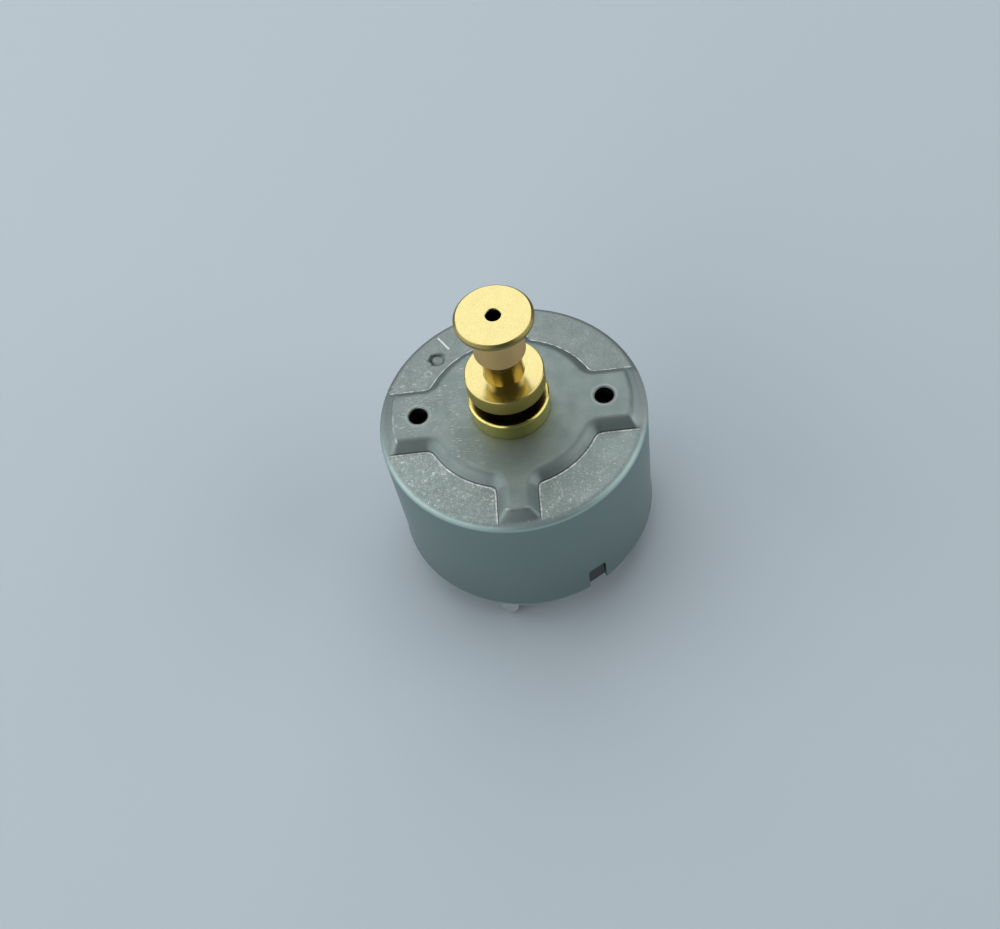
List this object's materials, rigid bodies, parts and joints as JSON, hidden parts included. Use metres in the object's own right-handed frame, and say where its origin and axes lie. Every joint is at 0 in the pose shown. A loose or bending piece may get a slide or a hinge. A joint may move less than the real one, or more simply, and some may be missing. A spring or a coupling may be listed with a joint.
{
  "type": "brushed dc motor with pulley",
  "caption": "Flat round brushed DC motor in a drawn steel can, with an embossed front face and a turned brass pulley on its shaft.",
  "frame": {"origin": "on the shaft axis, at the bottom of the rear boss that the motor stands on", "axes": "+Z along the shaft, out of the front face; +X through the two mounting holes"},
  "size_m": [0.032, 0.032, 0.041],
  "materials": {
    "zinc_plated_steel": "satin zinc plate, faintly blue",
    "pulley_brass": "bright, fine turned",
    "housing_brass": "turned, slightly dull",
    "sintered_bronze": "porous, oil filled",
    "ferrite": "matt, ground",
    "spring_steel": "bright rolled",
    "black_nylon": "moulded, satin",
    "white_nylon": "moulded, satin",
    "tinned_brass": "hot-tinned, satin",
    "phosphor_bronze": "rolled, bright",
    "carbon": "pressed graphite, matt",
    "ground_steel": "ground",
    "silicon_steel": "stamped, varnished",
    "enamelled_wire": "wound enamelled copper wire",
    "copper": "turned",
    "varistor_ceramic": "fired ceramic, matt"
  },
  "bodies": {
    "stator": {"can": "zinc_plated_steel", "bearing_housing": "housing_brass", "front_bearing": "sintered_bronze", "magnet_left": "ferrite", "magnet_right": "ferrite", "magnet_spring_back": "spring_steel", "magnet_spring_front": "spring_steel", "end_cap": "black_nylon", "rear_bearing": "sintered_bronze", "thrust_disc": "white_nylon", "terminal_front": "tinned_brass", "terminal_back": "tinned_brass", "brush_arm_front": "phosphor_bronze", "brush_arm_back": "phosphor_bronze", "brush_front": "carbon", "brush_back": "carbon"},
    "rotor": {"shaft": "ground_steel", "core_lamination_01": "silicon_steel", "core_lamination_02": "silicon_steel", "core_lamination_03": "silicon_steel", "core_lamination_04": "silicon_steel", "core_lamination_05": "silicon_steel", "core_lamination_06": "silicon_steel", "core_lamination_07": "silicon_steel", "core_lamination_08": "silicon_steel", "core_lamination_09": "silicon_steel", "core_lamination_10": "silicon_steel", "insulator_rear": "white_nylon", "insulator_front": "white_nylon", "coil_1": "enamelled_wire", "coil_2": "enamelled_wire", "coil_3": "enamelled_wire", "commutator_hub": "black_nylon", "commutator_segment_1": "copper", "commutator_segment_2": "copper", "commutator_segment_3": "copper", "commutator_band": "white_nylon", "varistor": "varistor_ceramic", "front_spacer": "white_nylon", "front_washer": "white_nylon", "rear_washer": "white_nylon", "pulley": "pulley_brass"}
  },
  "joints": [
    {"name": "rotor_spin", "type": "hinge", "parent": "stator", "child": "rotor", "pos_m": [0, 0, 0.02], "axis": [0, 0, 1], "continuous": true}
  ]
}
